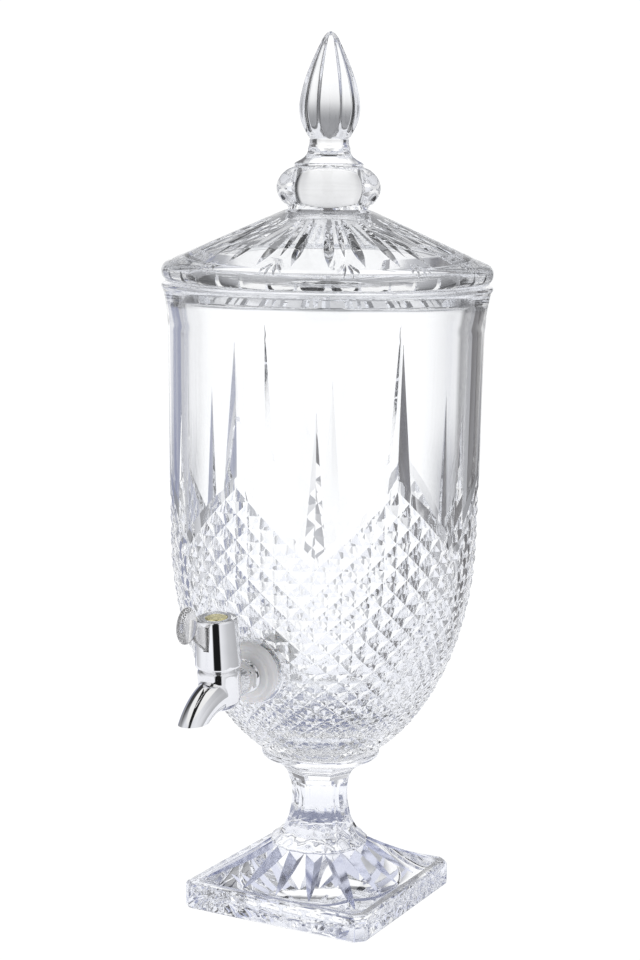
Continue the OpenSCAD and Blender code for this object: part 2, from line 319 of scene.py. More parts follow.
def build_jar():
    # levels of the diamond rows, half a diamond apart along the surface
    zs = [273.0]
    while zs[-1] > 101.5:
        z = zs[-1]
        for _ in range(2):
            mid = 0.5 * (z + zs[-1])
            slope = float((jar_r(mid + 0.05) - jar_r(mid - 0.05)) / 0.1)
            z = zs[-1] - 0.918 * float(jar_r(mid)) * rad(5) / math.sqrt(1 + slope ** 2)
        zs.append(z)
    zs = np.array(zs[:-1])
    m_end = len(zs) - 1
    verts, faces = [], []

    def add(p):
        verts.append(p)
        return len(verts) - 1

    def level(m):
        return float(np.interp(m, np.arange(len(zs)), zs))

    def field_point(x, m, depth_units):
        z = level(m)
        depth = depth_units * (1.85 + 0.85 * min(1.0, max(0.0, (225.0 - z) / 90.0))) * float(jar_r(z)) / 94.6
        r, zz = jar_surface(z, depth)
        return around(r, PEAK + 5.0 * x, zz)

    def top_of(x):
        return abs((x + 6) % 12 - 6)

    corner = {}
    for x in range(72):
        for m in range(top_of(x), m_end + 1):
            if (x + m) % 2 == 0:
                corner[x, m] = add(field_point(x, m, 1.0))
    apex = {x: add(field_point(x, m_end, 0.0)) for x in range(72) if (x + m_end) % 2}
    # points of the panel's lower edge, along the upper sides of the top diamonds
    edge = []
    subs = {}
    for x in range(72):
        a, b = corner[x, top_of(x)], corner[(x + 1) % 72, top_of((x + 1) % 72)]
        pa, pb = verts[a], verts[b]
        mid = [add(pa + (pb - pa) * k / K) for k in range(1, K)]
        edge += [a] + mid
        subs[a, b] = mid

    def run(a, b):
        """The points from a to b, with those that the panel adds between them."""
        if (a, b) in subs:
            return [a] + subs[a, b]
        if (b, a) in subs:
            return [a] + subs[b, a][::-1]
        return [a]

    for x in range(72):
        for m in range(top_of(x) + 1, m_end + 1):
            if (x + m) % 2 == 0:
                continue
            t, l, r = corner[x, m - 1], corner[(x - 1) % 72, m], corner[(x + 1) % 72, m]
            if m == m_end:
                faces.append(run(r, t) + [t, apex[x]])
                faces.append(run(t, l) + [l, apex[x]])
                continue
            b = corner[x, m + 1]
            tr, tt = add(field_point(x + TIP, m, TIP)), add(field_point(x, m - TIP, TIP))
            tl, tb = add(field_point(x - TIP, m, TIP)), add(field_point(x, m + TIP, TIP))
            faces.append(run(r, t) + [t, tt, tr])
            faces.append(run(t, l) + [l, tl, tt])
            faces.append([l, b, tb, tl])
            faces.append([b, r, tr, tb])
            faces.append([tr, tt, tl, tb])
    # seat
    low = [corner[x, m_end] if (x + m_end) % 2 == 0 else apex[x] for x in range(72)]
    seat = [add(around(32.6, PEAK + 5.0 * x, 96.25)) for x in range(72)]
    c = add(np.array([0, 0, 96.25]))
    for x in range(72):
        y = (x + 1) % 72
        faces.append([low[x], seat[x], seat[y], low[y]])
        faces.append([seat[y], seat[x], c])

    # panel with its pointed cuts: long V grooves over every peak and every valley
    n = 72 * K
    ang0 = PEAK + 5.0 / K * np.arange(n)
    zb = np.array([verts[e][2] for e in edge])
    top_row, nj, wall = 361.0, 52, 6.6
    rows = []
    d = np.abs((np.arange(n) + 6 * K) % (12 * K) - 6 * K)          # columns from the nearest peak
    side = np.where((np.arange(n) + 6 * K) % (12 * K) >= 6 * K, 1.0, -1.0)
    centre = ang0 - side * d * 5.0 / K

    def groove(z, top, rate, low):
        """Half width of a pointed cut at height z."""
        w = rate * (top - z)
        over = low + 3.0 * smooth01((z - top) / 34.0)
        return np.where(z < top, np.maximum(w, low), over)

    def panel_row(z):
        r = jar_r(z)
        wp, wv = groove(z, 357.0, 0.0895, 0.3), groove(z, 316.5, 0.080, 0.3)
        ap, av = np.degrees(wp / r), np.degrees(wv / r)
        e = 6 * K - d
        off = np.where(d <= 6, d / 6.0 * ap,
                       np.where(e <= 5, 30.0 - e / 5.0 * av, ap + (d - 6.0) / (6 * K - 11.0) * (30.0 - ap - av)))
        # the cuts are steep at the tip and flatten downwards
        kp, kv = 0.62 - 0.0034 * np.clip(357.0 - z, 0, 90), 0.68 - 0.0022 * np.clip(316.5 - z, 0, 90)
        dep = np.where((d < 6) & (z < 357.0), kp * wp * (1 - d / 6.0), 0.0)
        dep = np.where((e < 5) & (z < 316.5), kv * wv * (1 - e / 5.0), dep)
        return centre + side * off, dep

    for j in range(1, nj + 1):
        f = (j - 1) / (nj - 1)
        z = zb + wall + f * (top_row - zb - wall)
        ang, depth = panel_row(z)
        rr, zz = jar_surface(z, depth)
        rows.append(around(rr, ang, zz))
    for z in np.concatenate([np.linspace(363, 381, 10), [382.0, 382.8]]):
        k = float(smooth01((z - 361) / 20.0))
        rows.append(around(jar_r(z), panel_row(np.full(n, min(z, 380.0)))[0] * (1 - k) + ang0 * k, z))
    for r, z in soften([(99.6, 383.2), (100.75, 384.6), (100.5, 387.0), (98.0, 387.0)], 1.5, 6)[1:]:
        rows.append(around(r, ang0, z))
    inner = soften([(94.0, 387.0), (88.5, 387.0), (88.5, 376.0), (86.8, 361.0), (86.2, 320.0)], 2.0, 6)
    inner = [tuple(p) for p in inner[:-1]]
    inner += [(86.8 - 1.2 * (361 - z) / 126.0, z) for z in np.linspace(345, 240, 8)]
    for t in np.linspace(90, 3, 34):
        inner.append((85.6 * math.sin(rad(t)), 235 - 132 * math.cos(rad(t))))
    for r, z in inner:
        rows.append(around(r, ang0, z))
    base = len(verts)
    verts_all = np.vstack([np.array(verts), np.array(rows).reshape(-1, 3)])
    idx = np.vstack([np.array(edge)[None, :], base + np.arange(len(rows) * n).reshape(len(rows), n)])
    nxt = np.roll(idx, -1, axis=1)
    faces += np.stack([idx[:-1], nxt[:-1], nxt[1:], idx[1:]], -1).reshape(-1, 4).tolist()
    p = len(verts_all)
    verts_all = np.vstack([verts_all, [[0, 0, 103.0]]])
    faces += [(int(a), int(b), p) for a, b in zip(idx[-1], nxt[-1])]
    ob = temp_object("glass_jar_cut", verts_all, faces)
    # boss for the tap with a slanting inner end, then the hole
    a = np.linspace(0, 2 * np.pi, 120, endpoint=False)
    R = 20.5
    boss = [tap(-R * np.cos(a), -(9.0 - np.sin(a) * 5.5), R * np.sin(a)), tap(-R * np.cos(a), -1.4, R * np.sin(a))]
    for k in (20, 40, 60, 80):
        boss.append(tap(-(R - 1.4 + 1.4 * math.cos(rad(k))) * np.cos(a), -1.4 + 1.4 * math.sin(rad(k)),
                        (R - 1.4 + 1.4 * math.cos(rad(k))) * np.sin(a)))
    boss.append(tap(-(R - 1.4) * np.cos(a), 0, (R - 1.4) * np.sin(a)))
    cut(ob, temp_object("boss", *skin(boss, tap(0, -9.0, 0), tap(0, 0, 0))), "UNION")
    cut(ob, temp_object("hole", *turned_u([(0, -45), (9.6, -45), (9.6, 4), (0, 4)], 96)), "DIFFERENCE")
    return dress(ob, GLASS, "stand", ["glass_jar"], 9.0)


jar = build_jar()


# ---------------------------------------------------------------- pedestal
def build_pedestal():
    h0 = 63.0
    t225 = math.tan(rad(22.5))
    q = np.arange(120)
    s_unit = np.interp(q, [0, 35, 60, 85, 120], [-1, -t225, 0, t225, 1])
    side = np.repeat(np.arange(4), 120)
    s_unit = np.tile(s_unit, 4)
    th_b = np.degrees(np.arctan(s_unit)) + 90.0 * side
    n = 480

    def r_sq(theta, h, c):
        t = np.radians(theta)
        sn, cs = np.abs(np.sin(t)), np.abs(np.cos(t))
        return np.minimum(h / np.maximum(sn, cs), (2 * h - c) / (sn + cs))

    def side_row(h, z, c=5.0, dent=1.0):
        """A ring of the foot's side with its row of thumbprints."""
        s = s_unit * h
        d = np.zeros(n)
        for k in range(7):
            sc = 15.7 * (k - 3)
            e = 1 - ((s - sc) / 7.7) ** 2 - ((z - 8.7) / 6.3) ** 2
            d = np.maximum(d, 1.6 * dent * np.clip(e, 0, None))
        th = np.radians(th_b)
        r = r_sq(th_b, h, c)
        p = around(r, th_b, z)
        nx, ny = np.sin(np.radians(90.0 * side)), -np.cos(np.radians(90.0 * side))
        p[:, 0] -= d * nx
        p[:, 1] -= d * ny
        return p

    rows = []
    # shallow recess under the foot
    for r, z in [(6.0, 1.5), (25.0, 1.5), (43.6, 1.5), (44.6, 1.3), (45.6, 0.2), (46.2, 0.0)]:
        rows.append(around(r, th_b, z))
    rows.append(around(r_sq(th_b, 60.5, 5), th_b, 0.0))
    rows.append(around(r_sq(th_b, 61.6, 5), th_b, 0.0))
    # side
    rows.append(side_row(62.5, 0.5))
    for z in np.linspace(1.2, 13.4, 20):
        rows.append(side_row(h0, z))
    rows.append(side_row(62.8, 14.6))
    rows.append(side_row(62.2, 15.6))
    rows.append(side_row(61.3, 16.2, dent=0.8))
    rows.append(side_row(60.0, 16.4, dent=0.3))
    rows.append(side_row(58.6, 16.4, c=4.0, dent=0.0))
    rows.append(side_row(57.6, 16.4, c=4.0, dent=0.0))
    # rayed top: grooves at multiples of 22.5 degrees, pointed at the border
    starts = np.array([0, 35, 60, 85, 120])
    r_in = 29.6
    first_ray, cut_cols = len(rows), []
    for t in np.concatenate([np.linspace(0.985, 0.86, 6), np.linspace(0.82, 0.0, 20)]):
        th = np.zeros(n)
        dep = np.zeros(n)
        rb_mid = 57.3
        rr_mid = r_in + (rb_mid - r_in) * t
        w_mm = 5.3 * max(0.0, 1 - (t / 0.95) ** 1.5) ** 0.85
        wmin = 0.25
        live = w_mm > wmin
        keep = float(smooth01((t - 0.93) / 0.055))
        for k in range(4):
            for g in range(4):
                i0, i1 = starts[g], starts[g + 1]
                m = i1 - i0
                idx = 120 * k + np.arange(i0, i1)
                ta, tb = -45 + 22.5 * g, -45 + 22.5 * (g + 1)
                mid_r = r_in + (float(r_sq(0.5 * (ta + tb), 57.3, 4.0)) - r_in) * t
                w = math.degrees(max(w_mm, wmin) / mid_r)
                w = min(w, 10.6)
                j = np.arange(m)
                inner = np.where(j <= 4, ta + j / 4.0 * w,
                                 np.where(j >= m - 4, tb - (m - j) / 4.0 * w,
                                          ta + w + (j - 4) / (m - 8.0) * (tb - ta - 2 * w)))
                border = th_b[120 * k + np.arange(i0, i1)] - 90.0 * k
                th[idx] = 90.0 * k + inner * (1 - keep) + border * keep
                a = np.minimum(j, m - j)
                dep[idx] = np.where(a < 4, 1.0 * w_mm * (1 - a / 4.0), 0.0) if live else 0.0
        rb = r_sq(th, 57.3, 4.0)
        r = r_in + (rb - r_in) * t
        z = 16.45 + 20.0 * (1 - t) ** 1.15
        cut_cols.append(dep > 0)
        rows.append(around(r, th, z - dep))
    # toes, stem and collar
    fine = th_b.copy()
    flat = np.abs(((fine + 360.0) % 45.0) - 22.5)            # 0 at the middle of a flat, 22.5 on a ridge
    octa = math.cos(rad(22.5)) / np.cos(np.radians(flat))
    rib = 15.0
    rib_d = math.cos(rad(22.5)) / math.cos(rad(rib)) * math.cos(rad(22.5 - rib))
    ribbed = np.where(flat < rib, octa - 0.035 * np.cos(np.pi / 2 * flat / rib), rib_d / np.cos(np.radians(22.5 - flat)))
    bead = 0.45 * np.cos(np.radians(16.0 * fine))
    for r, z in [(29.8, 36.7), (30.2, 37.2), (30.3, 37.9), (29.9, 38.7), (28.9, 39.6), (27.5, 40.7)]:
        rows.append(around(r - bead, fine, z))
    zz = [42.3, 44, 46, 48.5, 52, 55.5, 59, 62, 65.5, 69, 72, 74.5, 76.4]
    rr = np.interp(zz, [40.7, 44, 47.5, 52, 57, 63, 69, 75, 77], [27.2, 23.6, 21.3, 19.4, 18.3, 17.3, 17.1, 17.8, 18.3])
    for r, z in zip(rr, zz):
        k = float(smooth01((z - 40.5) / 5.5))
        rows.append(around((r / 0.935) * ribbed * k + r * (1 - k), fine, z))
    for rho, z in [(18.9, 77.2), (19.6, 77.5), (19.9, 78.2), (20.2, 80.0), (20.9, 82.0), (22.0, 84.0), (23.6, 86.0),
                   (25.6, 87.6), (26.4, 88.1), (26.7, 88.7), (26.6, 89.3)]:
        rows.append(around(rho * octa, fine, z))
    for r, z, k in [(26.4, 89.7, 0.7), (27.6, 90.1, 0.25), (30.2, 90.7, 0.0), (33.0, 91.6, 0.0), (35.2, 92.7, 0.0), (36.3, 93.7, 0.0),
                    (36.8, 94.7, 0.0), (36.8, 95.7, 0.0), (36.4, 96.5, 0.0), (35.8, 96.85, 0.0), (35.1, 96.8, 0.0),
                    (34.4, 96.4, 0.0), (33.4, 96.0, 0.0), (20.0, 96.0, 0.0)]:
        rows.append(around(r * (k * octa / 0.928 + 1 - k), fine, z))
    v, f = skin(rows, np.array([0, 0, 1.5]), np.array([0, 0, 96.0]))
    ob = put("glass_pedestal_cut", v, f, GLASS, "stand", ["glass_pedestal"], 14.0)
    # the rays are ground, not polished; their satin glass carries a lavender-grey tint that is painted shade
    ob.data.materials.append(SATIN_PAINTED_SHADE)
    for j in range(len(cut_cols) - 1):
        hit = cut_cols[j] | cut_cols[j + 1]
        for i in np.nonzero(hit | np.roll(hit, -1))[0]:
            ob.data.polygons[(first_ray + j) * n + int(i)].material_index = 1
    return ob


pedestal = build_pedestal()


# ---------------------------------------------------------------- lid and finial
FACING = 28.0         # azimuth of a ridge of the finial and a lobe of the bulb


def build_lid():
    per = 38
    motifs = 14
    n = per * motifs
    pitch = 360.0 / motifs
    first = 9.0
    nose_r, nose_c = 6.2, (94.5, 394.45)
    run = (nose_c[0] - 27.5, 431 - nose_c[1])
    touch = math.atan2(run[0], run[1]) + math.asin(nose_r / math.hypot(*run))
    slope = math.tan(math.pi / 2 - touch)
    r_touch = nose_c[0] + nose_r * math.cos(touch)

    def on_top(s):
        """Radius, height and normal at the length s along the top, which is the radius on the cone."""
        if s <= r_touch:
            return s, 431 - slope * (s - 27.5), math.cos(touch), math.sin(touch)
        a = touch - (s - r_touch) / nose_r
        return nose_c[0] + nose_r * math.cos(a), nose_c[1] + nose_r * math.sin(a), math.cos(a), math.sin(a)


    def lines(r):
        """Angles and cut depths of one motif's lines at radius r."""
        deg = lambda mm: math.degrees(mm / r)
        phi = 5.9 + 0.5 * (r - 42) / 53.0

        def blade(lo, hi, w, taper):
            inside = lo < r < hi
            x = w * min(1.0, math.sqrt(max(0.0, (r - lo) / 10.0))) if r < taper else \
                w * math.cos(math.pi / 2 * min(1.0, (r - taper) / (hi - taper)))
            return (max(x, 0.22), inside)

        wb, in_b = blade(38.0, 94.0, 3.0, 74.0)
        if r < 75:
            wb = min(wb, 0.041 * r)
        wm, in_m = blade(40.0, 83.0, 1.8, 62.0)
        if r < 65:
            wm = min(wm, 0.029 * r)
        nat = 1.9
        wbd = deg(wb) if in_b else nat
        wmd = deg(wm) if in_m else 1.4
        u = np.array([-1, -2 / 3, -1 / 3, 0, 1 / 3, 2 / 3, 1])
        v = (1 - np.abs(u))
        left, right = -phi + wbd * u, phi + wbd * u
        d_side = (0.78 * wb * v) if in_b else np.zeros(7)
        a = -phi + wbd
        mid_a = np.concatenate([[a + (-wmd - a) * (k + 1) / 5.0 for k in range(4)], wmd * u,
                                [wmd + (-a - wmd) * (k + 1) / 5.0 for k in range(4)]])
        d_a = np.concatenate([np.zeros(4), (0.78 * wm * v) if in_m else np.zeros(7), np.zeros(4)])
        # sprig of four leaves
        tau = np.clip((r - 90.4) / 10.0, 0, 1.3)
        w2 = 1.45 * math.sin(math.pi * min(1, max(0, (r - 90.4) / 10.4))) ** 0.7 if 90.4 < r < 100.8 else 0.0
        w1 = 0.95 * math.sin(math.pi * min(1, max(0, (r - 91.6) / 12.4))) ** 0.8 if 91.6 < r < 104.0 else 0.0
        c2, c1 = 0.95 + 2.7 * tau, 0.40 + 0.95 * tau
        e2, e1 = deg(max(w2, 0.2)), deg(max(w1, 0.14))
        e1 = min(e1, 0.8 * c1, 0.45 * (c2 - c1))
        e2 = min(e2, 0.5 * (c2 - c1) if c2 - c1 < 2 * e2 else e2)
        half_s = [c1 - e1, c1, c1 + e1, 0.5 * (c1 + e1 + c2 - e2), c2 - e2, c2, c2 + e2]
        half_d = [0, 0.7 * w1, 0, 0, 0, 0.62 * w2, 0]
        mid_s = np.concatenate([-np.array(half_s)[::-1], [0], half_s])
        d_s = np.concatenate([np.array(half_d)[::-1], [0], half_d])
        k = float(np.clip((r - 83.6) / 2.4, 0, 1))
        mid = mid_a * (1 - k) + mid_s * k
        d_mid = d_a if r < 85 else d_s
        p0, p1 = phi + wbd, pitch - phi - wbd
        pan = [p0 + (p1 - p0) * (k + 1) / 10.0 for k in range(9)]
        return np.concatenate([left, mid, right, pan]), np.concatenate([d_side, d_mid, d_side, np.zeros(9)])

    base_ang = np.linspace(0, 360, n, endpoint=False)
    ang_99 = np.concatenate([first + pitch * m + lines(104.0)[0] for m in range(motifs)])
    rows = []
    under = soften([(3.0, 426), (24, 425), (66, 406.9), (76.5, 400.4), (82.3, 391.0), (84.3, 378.3), (87.1, 378.3), (87.1, 387.35), (94.0, 387.35)], 1.2, 4)
    for r, z in under:
        rows.append(around(r, ang_99, z))
    for i in np.linspace(-78, -3, 12):
        rows.append(around(96.2 + 4.5 * math.cos(rad(i)), ang_99, nose_c[1] + 6.6 * math.sin(rad(i))))
    spans = np.concatenate([np.arange(104.0, 84.0, -0.6), np.arange(83.5, 41.0, -1.7), [39.5, 37, 34.5, 32, 30]])
    for span in spans:
        a1, d1 = lines(span)
        ang = np.concatenate([first + pitch * m + a1 for m in range(motifs)])
        d = np.tile(d1, motifs)
        r, z, nx, nz = on_top(span)
        rows.append(around(r - d * nx, ang, z - d * nz))
    ang_in = np.concatenate([first + pitch * m + lines(30.0)[0] for m in range(motifs)])

    even = ang_in[0] + base_ang

    def bulb(z, core):
        """Radius of the four-lobed bulb at height z, never under the core's."""
        d = np.radians((even - FACING + 45.0) % 90.0 - 45.0)
        q = 1 - (abs(z - 444.5) / 15.5) ** 2
        if q <= 0:
            return np.full(n, core)
        rho = 22.6 * q ** 0.5
        c = 8.9 * min(1.0, 1.35 * q ** 0.4)
        r = c * np.cos(d) + np.sqrt(np.clip(rho ** 2 - (c * np.sin(d)) ** 2, 0, None))
        return np.maximum(r, core)

    for r, z, k in [(28.2, 430.7, 0.35), (26.6, 431.3, 0.7), (25.2, 431.7, 1.0)]:
        rows.append(around(r, ang_in * (1 - k) + even * k, z))
    for z in 444.5 - 13.0 * np.cos(np.radians(np.linspace(14, 166, 34))):
        core = np.interp(z, [432, 437, 444, 453, 458], [24.4, 23.6, 22.8, 21.4, 20.5])
        rows.append(around(bulb(z, core), even, z))
    # shoulder with an arch over each lobe, then the neck
    d = ((even - FACING + 45.0) % 90.0 - 45.0) / 45.0
    arch = np.clip(1 - np.abs(d) / 0.82, 0, 1) ** 0.5
    for r, z in [(20.7, 458.0), (21.0, 458.6), (20.9, 459.2), (20.2, 460.0), (18.6, 461.3), (16.8, 462.9), (15.2, 464.7),
                 (13.8, 466.5), (12.8, 468.2), (12.2, 469.8), (11.95, 471.2), (11.9, 472.6), (11.85, 473.3), (11.6, 473.6)]:
        sink = 2.1 * arch * math.sin(math.pi * min(1, max(0, (z - 459.0) / 9.0)))
        rows.append(around(r - sink, even, z))
    v, f = skin(rows, np.array([0, 0, 426.0]), np.array([0, 0, 473.6]))
    return put("glass_lid_cut", v, f, GLASS, "lid", ["glass_lid"], 14.0)


lid = build_lid()


def build_finial():
    n = 8 * 30
    a = np.linspace(0, 360, n, endpoint=False)
    u = ((a + 22.5) % 45.0 - 22.5) / 22.5          # 0 on a ridge, 1 in the middle of a flute
    rows = []
    share = np.array([(0.65, 0), (0.8, 0.075), (0.93, 0.16), (0.99, 0.245), (1, 0.3), (0.97, 0.38), (0.92, 0.45), (0.83, 0.55),
                      (0.69, 0.66), (0.53, 0.77), (0.35, 0.88), (0.2, 0.96), (0.1, 0.99)])
    r_at, z_at = 18.3 * share[:, 0], 473.7 + 63.3 * share[:, 1]
    lean = np.gradient(r_at, z_at)

    def outline(z):
        """Smooth curve through the outline's points."""
        i = int(np.clip(np.searchsorted(z_at, z) - 1, 0, len(z_at) - 2))
        h = z_at[i + 1] - z_at[i]
        t = (z - z_at[i]) / h
        return ((2 * t ** 3 - 3 * t ** 2 + 1) * r_at[i] + (t ** 3 - 2 * t ** 2 + t) * h * lean[i]
                + (3 * t ** 2 - 2 * t ** 3) * r_at[i + 1] + (t ** 3 - t ** 2) * h * lean[i + 1])

    zs = np.concatenate([[473.78, 474.1], np.linspace(475, 497, 16), np.linspace(498.5, 532, 24), [533, 534, 535, 535.8, 536.3]])
    for z in zs:
        r = outline(z)
        r -= 0.35 if z < 474.0 else 0.0
        k = float(smooth01((z - 474.5) / 9.0)) * float(smooth01((536.5 - z) / 9.0))
        # rounded ridges, hollow flutes
        f = 0.11 * k * r * np.sin(np.pi / 2 * np.abs(u)) ** 1.15
        rows.append(around(r - f, a + FACING, z))
    v, f = skin(rows, np.array([0, 0, 473.78]), np.array([0, 0, 537.0]))
    return put("lid_finial_cut", v, f, GLASS, "lid", ["lid_finial"], 40.0)


finial = build_finial()


# ---------------------------------------------------------------- tap
def spout_rings(r0, r1, a1, n=64, steps=40, start=-1.0):
    """Tube along the spout's bend: radius r0 at the barrel to r1 at the mouth."""
    t = np.linspace(0, 2 * np.pi, n, endpoint=False)
    rows = []
    path = [(0.0 + start, 0.0, 0.0)] if start < 0 else []
    for k in np.linspace(0, 1, steps):
        a = rad(a1 * k)
        path.append((5 + 40 * math.sin(a), -40 + 40 * math.cos(a), a))
    total = len(path)
    for i, (v, w, a) in enumerate(path):
        k = i / (total - 1)
        r = r0 + (r1 - r0) * k ** 0.8
        # across the path: x, and the normal in the (v, w) plane
        nv, nw = math.sin(a), math.cos(a)
        rows.append(tap(r * np.cos(t), REACH + v + r * np.sin(t) * nv, w + r * np.sin(t) * nw))
    first, last = path[0], path[-1]
    return skin(rows, tap(0, REACH + first[0], first[1]), tap(0, REACH + last[0], last[1]))


def fixed_winding(vf):
    """Turns the faces outwards."""
    v, f = vf
    me = bpy.data.meshes.new("w")
    me.from_pydata(np.asarray(v, float).tolist(), [], f)
    bm = bmesh.new()
    bm.from_mesh(me)
    bmesh.ops.recalc_face_normals(bm, faces=bm.faces)
    out = [[x.index for x in face.verts] for face in bm.faces]
    bm.free()
    bpy.data.meshes.remove(me)
    return v, out


def build_tap_body():
    barrel = turned_w(soften([(0, -11.2), (6, -10.6), (9.6, -8.4), (11.6, -5.4), (12.35, -2), (12.35, 12.7), (11.4, 13.9),
                              (10.9, 14.2), (10.9, 17), (0, 17)], 0.6, 3), 96)
    rear = turned_u([(0, 8.0), (9.3, 8.0), (9.3, 36.3), (0, 36.3)], 96)
    spout = spout_rings(10.4, 6.9, 56, start=-1.0)
    parts = [fixed_winding(p) for p in (barrel, rear, spout)]
    ob = temp_object("tap_body_cast", *joined(parts))
    m = ob.modifiers.new("r", "REMESH")
    m.mode = "VOXEL"
    m.voxel_size = 0.00036
    s = ob.modifiers.new("s", "SMOOTH")
    s.factor = 0.5
    s.iterations = 14
    baked(ob)
    # level mouth and open bore
    box = []
    for x in (-20, 20):
        for y in (-175, -132.5):
            for z in (120, 148.2):
                box.append((x, y, z))
    bf = [(0, 1, 3, 2), (4, 6, 7, 5), (0, 4, 5, 1), (2, 3, 7, 6), (0, 2, 6, 4), (1, 5, 7, 3)]
    cut(ob, temp_object("level", *fixed_winding((np.array(box, float), bf))), "DIFFERENCE")
    cut(ob, temp_object("bore", *fixed_winding(spout_rings(5.2, 5.2, 60, start=5.0))), "DIFFERENCE")
    dress(ob, CHROME, "stand", ["tap_body"], 40.0)
    return ob


tap_body = build_tap_body()


def build_tap_hex():
    """Flange and hexagon behind the barrel, and the shank through the wall."""
    flange = turned_u(soften([(0, 7.55), (10.4, 7.55), (10.4, 9.3), (0, 9.3)], 0.5, 3), 96)
    n = 96
    a = np.linspace(0, 2 * np.pi, n, endpoint=False)
    hexr = 10.2 * math.cos(rad(30)) / np.cos((a + rad(30)) % rad(60) - rad(30))
    rows = []
    for cap, u in [(9.35, 9.2), (9.7, 9.6), (11, 10.2), (11, 14.2), (9.8, 14.7), (9.4, 15.0)]:
        r = np.minimum(hexr, cap)
        rows.append(tap(-r * np.cos(a), u, r * np.sin(a)))
    hexa = skin(rows, tap(0, 9.2, 0), tap(0, 15.0, 0))
    shank = [(0, -33), (7.2, -33)]
    for u in np.arange(-32.4, -9, 1.5):
        shank += [(7.85, u), (7.1, u + 0.75)]
    shank += [(7.8, -8), (7.8, 8), (0, 8)]
    v, f = joined([fixed_winding(p) for p in (flange, hexa, turned_u(shank, 64))])
    ob = put("tap_hexagon", v, f, CHROME, "stand", [], 25.0)
    cut(ob, temp_object("water_way", *fixed_winding(turned_u([(0, -40), (4.5, -40), (4.5, -6), (0, -6)], 48))), "DIFFERENCE")
    return dress(ob, CHROME, "stand", ["tap_body"], 25.0)


tap_hex = build_tap_hex()


def build_sleeve():
    prof = soften([(11.3, 15.6), (13.3, 15.6), (13.3, 17.2), (11.95, 43.2), (11.5, 43.9), (6.55, 43.9), (6.55, 42.3), (10.3, 42.3),
                   (11.3, 17.0), (11.3, 15.6)], 0.45, 4)
    prof = prof[1:-1] if np.allclose(prof[0], prof[-1]) else prof
    v, f = turned_w(prof, 128)
    v, f = ringed((v, f), len(prof), 128)
    ob = temp_object("tap_sleeve_turned", *fixed_winding((v, f)))
    box = []
    for x in (-1.75, 1.75):
        for vv in (6.0, 16.0):
            for w in (27.2, 41.4):
                box.append(tap(x, REACH + vv, w))
    bf = [(0, 1, 3, 2), (4, 6, 7, 5), (0, 4, 5, 1), (2, 3, 7, 6), (0, 2, 6, 4), (1, 5, 7, 3)]
    cut(ob, temp_object("slot", *fixed_winding((np.array(box, float), bf))), "DIFFERENCE")
    return dress(ob, CHROME, "tap_head", ["tap_sleeve"], 28.0)


sleeve = build_sleeve()


def build_lever():
    # web
    poly = [(8.6, 27.7), (13.2, 27.7), (22.5, 35.6), (25, 38.5), (25, 47.5), (22, 47.3), (13, 41.1), (8.6, 41.1)]
    web = []
    for x in (-1.35, 1.35):
        web += [tap(x, REACH + v, w) for v, w in poly]
    k = len(poly)
    wf = [list(range(k)), list(range(2 * k - 1, k - 1, -1))]
    wf += [[i, k + i, k + (i + 1) % k, (i + 1) % k] for i in range(k)]
    # paddle: a lens, fuller at its lower outer corner
    n, m = 72, 36
    a = np.linspace(0, 2 * np.pi, n, endpoint=False)
    rows = []
    for b in np.linspace(-88, 88, m):
        cb, sb = math.cos(rad(b)), math.sin(rad(b))
        v = 9.4 * cb * np.cos(a)
        w = 10.1 * cb * np.sin(a)
        full = 1 + 0.10 * np.clip(np.cos(a + rad(52)), 0, 1) ** 2
        rows.append(tap(3.1 * np.sign(sb) * abs(sb) ** 0.9, REACH + 31 + v * full, 48.6 + w * full))
    pad = skin(rows, tap(-3.1, REACH + 31, 48.6), tap(3.1, REACH + 31, 48.6))
    # hub inside the sleeve
    hub = turned_w([(5.2, 19.0), (9.2, 19.0), (9.2, 41.4), (5.2, 41.4)], 64)
    hub = ringed(hub, 4, 64)
    ob = temp_object("lever_moulded", *joined([fixed_winding(p) for p in ((np.array(web), wf), pad, hub)]))
    r = ob.modifiers.new("r", "REMESH")
    r.mode = "VOXEL"
    r.voxel_size = 0.00034
    s = ob.modifiers.new("s", "SMOOTH")
    s.factor = 0.5
    s.iterations = 8
    baked(ob)
    return dress(ob, PLASTIC, "tap_head", ["lever"], 60.0)


lever = build_lever()

disc_v, disc_f = turned_w(soften([(0, 42.5), (6.3, 42.5), (6.3, 43.9), (5.6, 44.25), (0, 44.3)], 0.3, 3), 96)
disc = put("cap_disc_plain", disc_v, fixed_winding((disc_v, disc_f))[1], GOLD, "tap_head", ["cap_disc"], 30.0)


def build_washer():
    prof = soften([(8.0, -5), (9.4, -5), (9.4, 0.05), (17.9, 0.05), (18.5, 1.2), (18.5, 4.6), (17.6, 6.0), (14.6, 6.0), (14.2, 6.9),
                   (13.4, 7.5), (8.0, 7.5), (8.0, -5)], 0.6, 4)[1:]
    v, f = turned_u(prof, 128)
    v, f = ringed((v, f), len(prof), 128)
    v, f = fixed_winding((v, f))
    return put("outer_washer_soft", v, f, SILICONE, "stand", ["outer_washer"], 35.0)


washer = build_washer()

# CAD pieces shown as they are
for node, material in {
    "inner_seal": SILICONE, "backing_washer": WHITE, "lock_nut": WHITE, "bonnet_ring": CHROME, "valve_plug": WHITE,
    "plug_oring_upper": RUBBER, "plug_oring_lower": RUBBER, "head_screw": STEEL, "screw_washer": STEEL,
}.items():
    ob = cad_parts[node]
    ob.data.materials.clear()
    ob.data.materials.append(material)


# ---------------------------------------------------------------- stage, light, camera
CAM_AZ = 27.987
back_x, back_y = -math.sin(rad(CAM_AZ)), math.cos(rad(CAM_AZ))     # away from the camera
right_x, right_y = math.cos(rad(CAM_AZ)), math.sin(rad(CAM_AZ))


